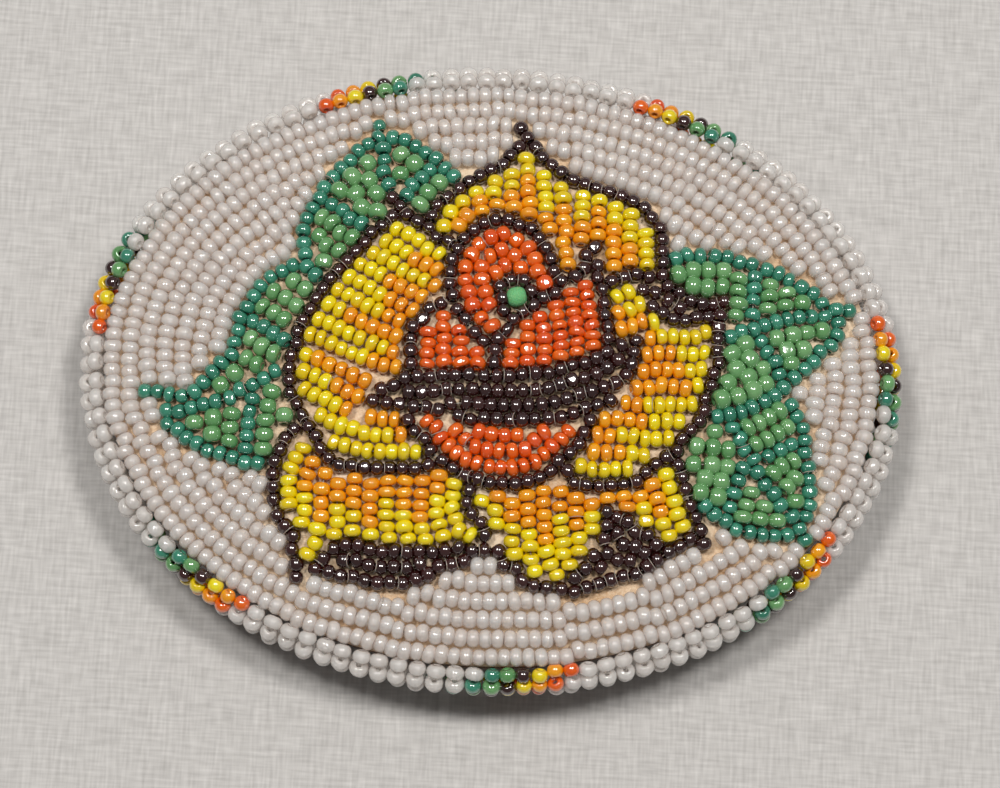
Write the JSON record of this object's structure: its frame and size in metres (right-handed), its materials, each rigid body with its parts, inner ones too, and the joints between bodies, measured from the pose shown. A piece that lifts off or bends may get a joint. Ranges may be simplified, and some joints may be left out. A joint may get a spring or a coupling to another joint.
{
  "type": "beaded oval belt buckle",
  "caption": "Oval domed buckle faced with lanes of seed beads showing a rose with leaves, edged with wrapped beads, with a hinged belt bail and hook stud behind.",
  "frame": {"origin": "centre of the oval in plan, at the height the ears and the stud stand on", "axes": "+Z out of the beaded front, +X along the long axis towards the bail, +Y to the top of the rose"},
  "size_m": [0.1018, 0.08, 0.0174],
  "materials": {
    "clear_glass": "translucent milky seed beads, glossy",
    "yellow_glass": "opaque gloss seed beads",
    "orange_glass": "opaque gloss seed beads",
    "red_glass": "opaque gloss seed beads, a little clear at the rim",
    "dark_glass": "near-black aubergine gloss seed beads",
    "teal_glass": "opaque gloss seed beads",
    "green_glass": "opaque satin-gloss seed beads",
    "hide": "tan brain-tanned hide, napped",
    "leather": "brown vegetable-tanned leather, cut edge",
    "felt": "pressed wool felt",
    "interfacing": "non-woven stiffener",
    "steel": "nickel-plated steel"
  },
  "bodies": {
    "root": {"leather_back": "leather", "steel_plate": "steel", "felt_pad": "felt", "stiffener": "interfacing", "hide_ground": "hide", "white_row_outer": "clear_glass", "centre_bead": "green_glass", "rose_outline": "dark_glass", "leaf_outline_left": "teal_glass", "leaf_outline_right": "teal_glass", "petal_top": "yellow_glass", "petal_left": "yellow_glass", "petal_right": "yellow_glass", "petal_lower_left": "yellow_glass", "petal_lower_middle": "yellow_glass", "petal_lower_right": "yellow_glass", "centre_curl": "red_glass", "centre_left": "red_glass", "centre_right": "red_glass", "centre_lower": "red_glass", "leaf_a_upper": "green_glass", "leaf_a_lower": "green_glass", "leaf_b_upper": "green_glass", "leaf_b_lower": "green_glass", "leaf_c_upper": "green_glass", "leaf_c_middle": "green_glass", "leaf_d_inner": "green_glass", "leaf_d_outer": "green_glass", "leaf_e_inner": "green_glass", "leaf_e_outer": "green_glass", "leaf_f_outer": "green_glass", "leaf_f_inner": "green_glass", "leaf_g_inner": "green_glass", "leaf_g_upper": "green_glass", "leaf_g_lower": "green_glass", "leaf_g_outer": "green_glass", "white_field_upper": "clear_glass", "white_field_lower": "clear_glass", "white_field_right": "clear_glass", "edge_accent_1": "orange_glass", "edge_white_1": "clear_glass", "edge_accent_2": "orange_glass", "edge_white_2": "clear_glass", "edge_accent_3": "orange_glass", "edge_white_3": "clear_glass", "edge_accent_4": "orange_glass", "edge_white_4": "clear_glass", "edge_accent_5": "orange_glass", "edge_white_5": "clear_glass", "edge_accent_6": "orange_glass", "edge_white_6": "clear_glass", "edge_accent_7": "orange_glass", "edge_white_7": "clear_glass", "bail_ear_upper": "steel", "bail_ear_lower": "steel", "hook_stud": "steel"},
    "bail": {"belt_bail": "steel"}
  },
  "joints": [
    {"name": "bail_hinge", "type": "hinge", "parent": "root", "child": "bail", "pos_m": [0.022, 0, 0.0029], "axis": [0, 1, 0], "range_deg": [0, 155]}
  ]
}
